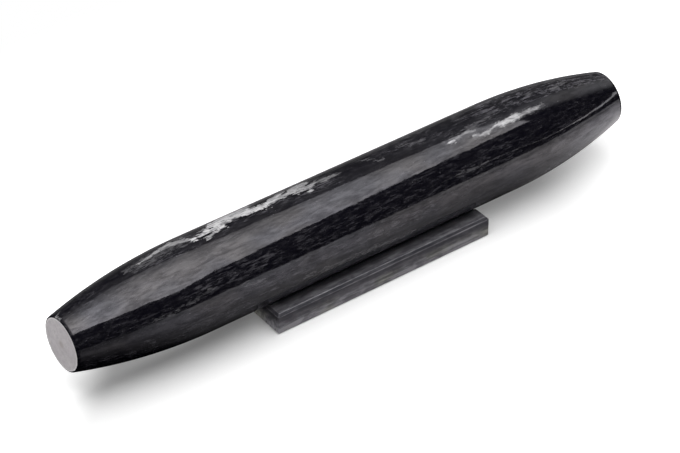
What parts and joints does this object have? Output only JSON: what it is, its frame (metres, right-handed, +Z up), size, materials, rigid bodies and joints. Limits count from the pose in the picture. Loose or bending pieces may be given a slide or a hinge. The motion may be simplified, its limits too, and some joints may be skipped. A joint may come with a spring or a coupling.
{
  "type": "marble rolling pin",
  "caption": "Handleless tapered rolling pin turned from black marble, lying in the groove of a low rectangular marble stand on anti-slip pads.",
  "frame": {"origin": "on the surface that the stand's pads rest on, below the middle of the pin", "axes": "+X along the pin, from the end nearer the viewer in the picture to the far end; -Y towards the viewer; +Z up"},
  "size_m": [0.305, 0.046, 0.0498],
  "materials": {
    "pin_marble": "polished black marble with white veins, honed flat ends",
    "stand_marble": "honed black marble",
    "pad_rubber": "matt black"
  },
  "bodies": {
    "stand": {"stand": "stand_marble", "pad_front_left": "pad_rubber", "pad_front_right": "pad_rubber", "pad_back_left": "pad_rubber", "pad_back_right": "pad_rubber"},
    "pin": {"rolling_pin": "pin_marble"}
  },
  "joints": [
    {"name": "pin_lift", "type": "slide", "parent": "stand", "child": "pin", "axis": [0, 0, 1], "range_m": [0, 0.1]}
  ]
}
